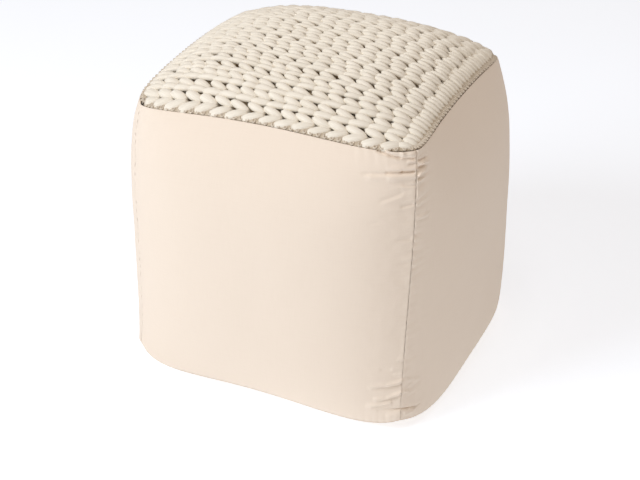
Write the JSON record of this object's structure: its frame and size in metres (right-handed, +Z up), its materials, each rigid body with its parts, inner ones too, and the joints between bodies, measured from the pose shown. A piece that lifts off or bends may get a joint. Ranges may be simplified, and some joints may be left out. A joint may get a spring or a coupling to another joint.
{
  "type": "cube pouf with a knitted top",
  "caption": "Stuffed cube pouf with woven cotton sides, a chunky knitted top and a flat base to rest on.",
  "frame": {"origin": "on the floor, under the middle of the pouf's bounding box", "axes": "+Z up, the front panel faces -Y, +X to the right seen from the front"},
  "size_m": [0.4488, 0.4259, 0.4223],
  "materials": {
    "cotton": "matte plain weave",
    "casing": "matte woven casing, filled",
    "yarn": "matte knitted yarn"
  },
  "bodies": {
    "root": {"stuffed_body": "casing", "front_panel": "cotton", "right_panel": "cotton", "back_panel": "cotton", "left_panel": "cotton", "base_panel": "cotton", "knit_top": "yarn", "knit_edging": "yarn"}
  },
  "joints": []
}
